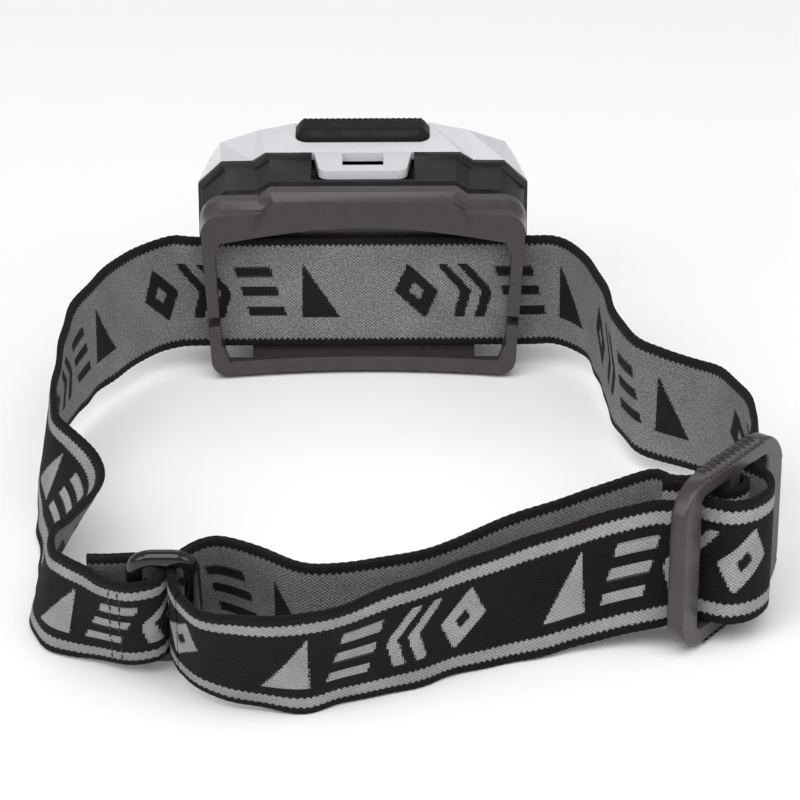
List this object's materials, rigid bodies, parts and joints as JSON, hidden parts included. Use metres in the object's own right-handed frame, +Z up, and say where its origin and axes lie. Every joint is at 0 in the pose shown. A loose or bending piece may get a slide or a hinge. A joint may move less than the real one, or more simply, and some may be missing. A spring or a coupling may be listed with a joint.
{
  "type": "headlamp",
  "caption": "Camping headlamp: tilting lamp case with hinged front cover and push button, on a bracket with an elastic strap, ring and sliding adjuster.",
  "frame": {"origin": "on the bracket's flat foot, at the middle of the strap line through the bracket", "axes": "+Z up; the beam leaves towards -Y and the wearer's head is on the +Y side; +X is the ring's side"},
  "size_m": [0.1414, 0.186, 0.0456],
  "materials": {
    "bronze_plastic": "satin moulded brown-grey plastic with a fine grain",
    "steel": "turned steel",
    "black_housing": "satin black ABS, faceted, lightly marked",
    "black_inner": "plain black moulding",
    "cell_jacket": "plain printed-film cell jacket without marks",
    "nickel": "nickel-plated strip and wire",
    "seal_rubber": "soft black gasket",
    "white_gloss": "glossy white ABS",
    "lens_clear": "clear polycarbonate",
    "black_gloss": "glossy black plastic",
    "reflector_chrome": "metallised reflector",
    "led_phosphor": "yellow phosphor chip",
    "board_green": "solder mask",
    "button_rubber": "finely ribbed black rubber",
    "webbing": "two-tone knitted elastic webbing: near-black outside, grey melange inside"
  },
  "bodies": {
    "bracket": {"bracket": "bronze_plastic", "tilt_pin": "steel", "strap_ring": "black_gloss", "band_front": "webbing", "band_outer": "webbing", "band_inner": "webbing"},
    "lamp": {"rear_housing": "black_housing", "battery_tray": "black_inner", "battery_top": "cell_jacket", "battery_middle": "cell_jacket", "battery_bottom": "cell_jacket", "contact_plates": "nickel", "contact_springs": "nickel", "cover_seal": "seal_rubber", "cover_hinge_pin": "steel"},
    "cover": {"front_cover": "white_gloss", "front_lens": "lens_clear", "lens_frame": "black_gloss", "reflector": "reflector_chrome", "main_led": "led_phosphor", "side_leds": "led_phosphor", "circuit_board": "board_green", "switch_board": "board_green", "tact_switch": "black_inner", "rear_plate": "black_inner", "cover_screws": "steel"},
    "button": {"power_button": "button_rubber"},
    "slider": {"strap_slider": "bronze_plastic", "band_loop": "webbing"}
  },
  "joints": [
    {"name": "lamp_tilt", "type": "hinge", "parent": "bracket", "child": "lamp", "pos_m": [0, -0.0052, 0.003], "axis": [1, 0, 0], "range_deg": [0, 60]},
    {"name": "cover_hinge", "type": "hinge", "parent": "lamp", "child": "cover", "pos_m": [0, -0.0185, 0.0022], "axis": [1, 0, 0], "range_deg": [0, 80]},
    {"name": "button_press", "type": "slide", "parent": "cover", "child": "button", "axis": [0, 0, -1], "range_m": [0, 0.0008], "stiffness_N_per_m": 400},
    {"name": "slider_adjust", "type": "slide", "parent": "bracket", "child": "slider", "axis": [0.6, 0.8, 0], "range_m": [-0.006, 0.006], "deforming": ["band_front", "band_outer", "band_inner"]}
  ]
}
